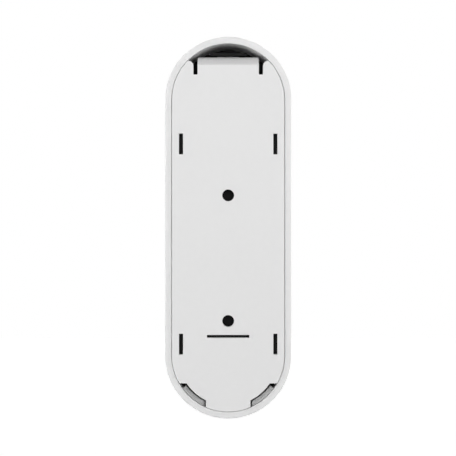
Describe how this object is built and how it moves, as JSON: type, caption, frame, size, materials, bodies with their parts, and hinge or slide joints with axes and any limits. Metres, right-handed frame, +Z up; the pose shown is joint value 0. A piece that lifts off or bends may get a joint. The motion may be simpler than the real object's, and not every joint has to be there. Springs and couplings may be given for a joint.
{
  "type": "video doorbell",
  "caption": "Slim white capsule-shaped battery video doorbell hanging on its nested wall plate, with a front camera, motion lens, round call button, hook, snap latch and charging port.",
  "frame": {"origin": "middle of the wall plate's back face, on the wall", "axes": "+Z up the doorbell, +Y out of the plate's back into the wall, -Y towards the visitor, +X to the visitor's right"},
  "size_m": [0.047, 0.0346, 0.142],
  "materials": {
    "white_plastic": "fine moulded texture, satin white",
    "plate_plastic": "very fine moulded texture, matt white",
    "black_plastic": "fine moulded texture, matt black",
    "gloss_black": "polished black with a faint depth",
    "grey_rubber": "soft matt white-grey rubber",
    "seal_silicone": "matt dark silicone",
    "board_green": "green solder mask, semi-gloss",
    "nickel": "bright nickel plate",
    "screw_steel": "zinc-plated steel",
    "cell_sleeve": "shrunk blue film",
    "chip_black": "moulded black resin",
    "lens_glass": "coated optical glass",
    "clear_window": "smoked clear window",
    "milky_plastic": "milky diffusing plastic",
    "antenna_copper": "thin copper on film",
    "lead_red": "red insulation",
    "lead_black": "black insulation"
  },
  "bodies": {
    "wall_plate": {"wall_plate": "plate_plastic"},
    "doorbell": {"outer_shell": "white_plastic", "rear_cover": "black_plastic", "rear_seal": "seal_silicone", "pocket_seal": "seal_silicone", "cover_screw_1": "screw_steel", "cover_screw_2": "screw_steel", "cover_screw_3": "screw_steel", "cover_screw_4": "screw_steel", "battery_cell_left": "cell_sleeve", "battery_cell_right": "cell_sleeve", "battery_strip_top": "nickel", "battery_strip_bottom": "nickel", "battery_tray": "black_plastic", "battery_lead_red": "lead_red", "battery_lead_black": "lead_black", "main_board": "board_green", "shield_can": "nickel", "processor": "chip_black", "microphone": "nickel", "motion_sensor": "nickel", "camera_board": "board_green", "image_sensor": "chip_black", "lens_holder": "black_plastic", "lens_barrel": "black_plastic", "rear_lens": "lens_glass", "front_lens": "lens_glass", "camera_window": "clear_window", "infrared_board": "board_green", "infrared_led_left": "clear_window", "infrared_led_right": "clear_window", "light_sensor": "chip_black", "front_fascia": "gloss_black", "motion_lens": "milky_plastic", "light_ring": "milky_plastic", "button_seal": "seal_silicone", "call_switch": "black_plastic", "button_board": "board_green", "speaker_frame": "black_plastic", "speaker_cone": "chip_black", "charging_socket": "nickel", "charging_board": "board_green", "reset_switch": "black_plastic", "antenna": "antenna_copper"},
    "latch": {"snap_latch": "black_plastic"},
    "button": {"call_button": "gloss_black"},
    "plunger": {"switch_plunger": "black_plastic"},
    "reset": {"reset_button": "seal_silicone"},
    "flap": {"charging_flap": "grey_rubber"}
  },
  "joints": [
    {"name": "doorbell_swing", "type": "hinge", "parent": "wall_plate", "child": "doorbell", "pos_m": [0, 0, 0.071], "axis": [-1, 0, 0], "range_deg": [0, 20]},
    {"name": "latch_flex", "type": "hinge", "parent": "doorbell", "child": "latch", "pos_m": [0, -0.0049, -0.05145], "axis": [1, 0, 0], "range_deg": [0, 5], "stiffness_Nm_per_rad": 0.2},
    {"name": "button_press", "type": "slide", "parent": "doorbell", "child": "button", "axis": [0, 1, 0], "range_m": [0, 0.0006], "stiffness_N_per_m": 1500},
    {"name": "plunger_press", "type": "slide", "parent": "doorbell", "child": "plunger", "axis": [0, 1, 0], "range_m": [0, 0.0006]},
    {"name": "reset_press", "type": "slide", "parent": "doorbell", "child": "reset", "axis": [0, -1, 0], "range_m": [0, 0.0005], "stiffness_N_per_m": 800},
    {"name": "flap_open", "type": "hinge", "parent": "doorbell", "child": "flap", "pos_m": [0, -0.0155, -0.07085], "axis": [-1, 0, 0], "range_deg": [0, 110], "stiffness_Nm_per_rad": 0.0006}
  ],
  "couplings": [
    {"joint": "plunger_press", "follows": "button_press", "ratio": 1}
  ]
}
